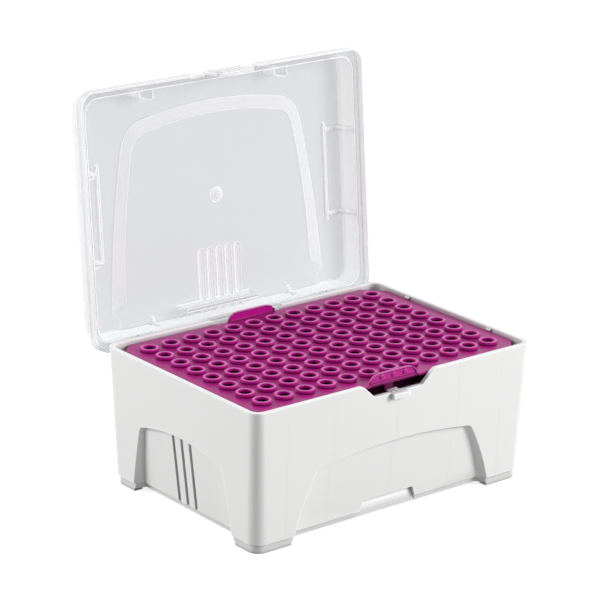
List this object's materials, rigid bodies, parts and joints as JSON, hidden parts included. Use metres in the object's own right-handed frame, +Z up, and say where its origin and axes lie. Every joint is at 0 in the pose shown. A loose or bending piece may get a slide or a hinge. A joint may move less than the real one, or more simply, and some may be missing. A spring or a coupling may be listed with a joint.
{
  "type": "pipette tip box",
  "caption": "Hinged laboratory rack for pipette tips: white tub with arched side recesses, clear snap lid and a lift-out magenta tray of round tip collars.",
  "frame": {"origin": "bottom centre of the whole open box, on the floor under the feet", "axes": "+X along the tub's long side, +Y towards the hinge and the open lid, +Z up"},
  "size_m": [0.123, 0.1094, 0.137],
  "materials": {
    "base_plastic": "satin",
    "tray_plastic": "gloss",
    "lid_plastic": "gloss"
  },
  "bodies": {
    "base": {"base": "base_plastic", "tip_tray": "tray_plastic"},
    "lid": {"lid": "lid_plastic"}
  },
  "joints": [
    {"name": "lid_hinge", "type": "hinge", "parent": "base", "child": "lid", "pos_m": [0, 0.0353, 0.04745], "axis": [1, 0, 0], "range_deg": [0, 95]}
  ]
}
